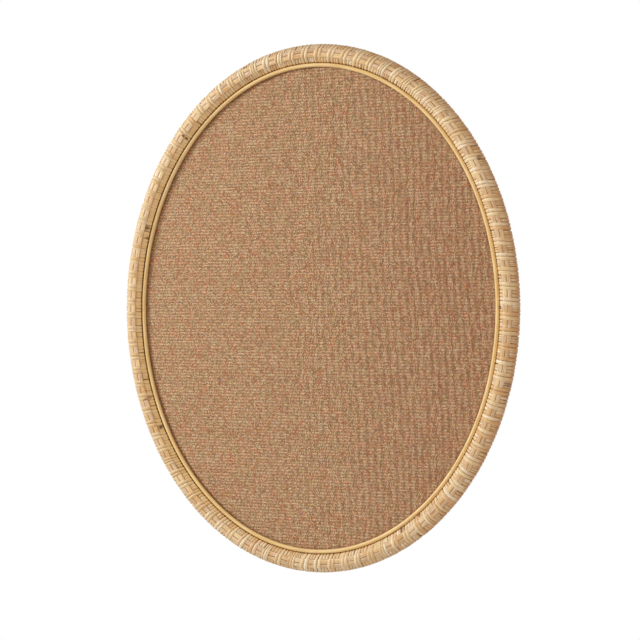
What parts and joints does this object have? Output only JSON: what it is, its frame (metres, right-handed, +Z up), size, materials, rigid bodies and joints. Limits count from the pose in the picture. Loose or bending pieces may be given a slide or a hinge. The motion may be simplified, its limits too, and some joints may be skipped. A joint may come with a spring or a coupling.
{
  "type": "pin board",
  "caption": "Oval wall-hung pin board: a cloth-covered cork panel in a round-fronted wooden ring bound with split cane over two splints, with a slim reed bead inside and strap hangers behind.",
  "frame": {"origin": "on the wall plane, half-way between the pins of the two hangers", "axes": "+Z up, +X to the viewer's right as the board hangs, and the front faces -Y, so +Y points into the wall"},
  "size_m": [0.6098, 0.0296, 0.7618],
  "materials": {
    "cane": "natural split cane, lightly glossy",
    "inner_splint": "natural splint, warm tan, satin",
    "outer_splint": "natural splint, pinkish grey, satin",
    "reed": "smooth round reed, satin",
    "ring_wood": "sawn, bare",
    "dowel_wood": "bare",
    "cloth": "coarse plain weave in tan and rust threads, matt",
    "cork": "bare cork",
    "plywood": "bare plywood",
    "spring_steel": "plain spring steel",
    "hanger_steel": "zinc plated",
    "screw_steel": "zinc plated",
    "felt": "brown felt"
  },
  "bodies": {
    "board": {"cane_wrap_01": "cane", "cane_wrap_02": "cane", "cane_wrap_03": "cane", "cane_wrap_04": "cane", "cane_wrap_05": "cane", "cane_wrap_06": "cane", "cane_wrap_07": "cane", "cane_wrap_08": "cane", "cane_wrap_09": "cane", "cane_wrap_10": "cane", "inner_splint": "inner_splint", "outer_splint": "outer_splint", "core_top": "ring_wood", "core_right": "ring_wood", "core_bottom": "ring_wood", "core_left": "ring_wood", "dowel_top_inner": "dowel_wood", "dowel_top_outer": "dowel_wood", "dowel_right_inner": "dowel_wood", "dowel_right_outer": "dowel_wood", "dowel_bottom_inner": "dowel_wood", "dowel_bottom_outer": "dowel_wood", "dowel_left_inner": "dowel_wood", "dowel_left_outer": "dowel_wood", "edge_bead_1": "reed", "edge_bead_2": "reed", "edge_bead_3": "reed", "edge_bead_4": "reed", "edge_bead_5": "reed", "edge_bead_6": "reed", "cloth_cover": "cloth", "cork_sheet": "cork", "backing_board": "plywood", "panel_tab_1": "spring_steel", "panel_tab_2": "spring_steel", "panel_tab_3": "spring_steel", "panel_tab_4": "spring_steel", "panel_tab_5": "spring_steel", "panel_tab_6": "spring_steel", "panel_tab_7": "spring_steel", "panel_tab_8": "spring_steel", "hanger_strap_left": "hanger_steel", "hanger_strap_right": "hanger_steel", "hanger_screw_left_1": "screw_steel", "hanger_screw_left_2": "screw_steel", "hanger_screw_right_1": "screw_steel", "hanger_screw_right_2": "screw_steel", "felt_pad_left": "felt", "felt_pad_right": "felt"},
    "left_ring": {"hanger_ring_left": "hanger_steel"},
    "right_ring": {"hanger_ring_right": "hanger_steel"}
  },
  "joints": [
    {"name": "left_ring_hinge", "type": "hinge", "parent": "board", "child": "left_ring", "pos_m": [-0.14, -0.0057, 0], "axis": [1, 0, 0], "range_deg": [0, 180]},
    {"name": "right_ring_hinge", "type": "hinge", "parent": "board", "child": "right_ring", "pos_m": [0.14, -0.0057, 0], "axis": [1, 0, 0], "range_deg": [0, 180]}
  ]
}
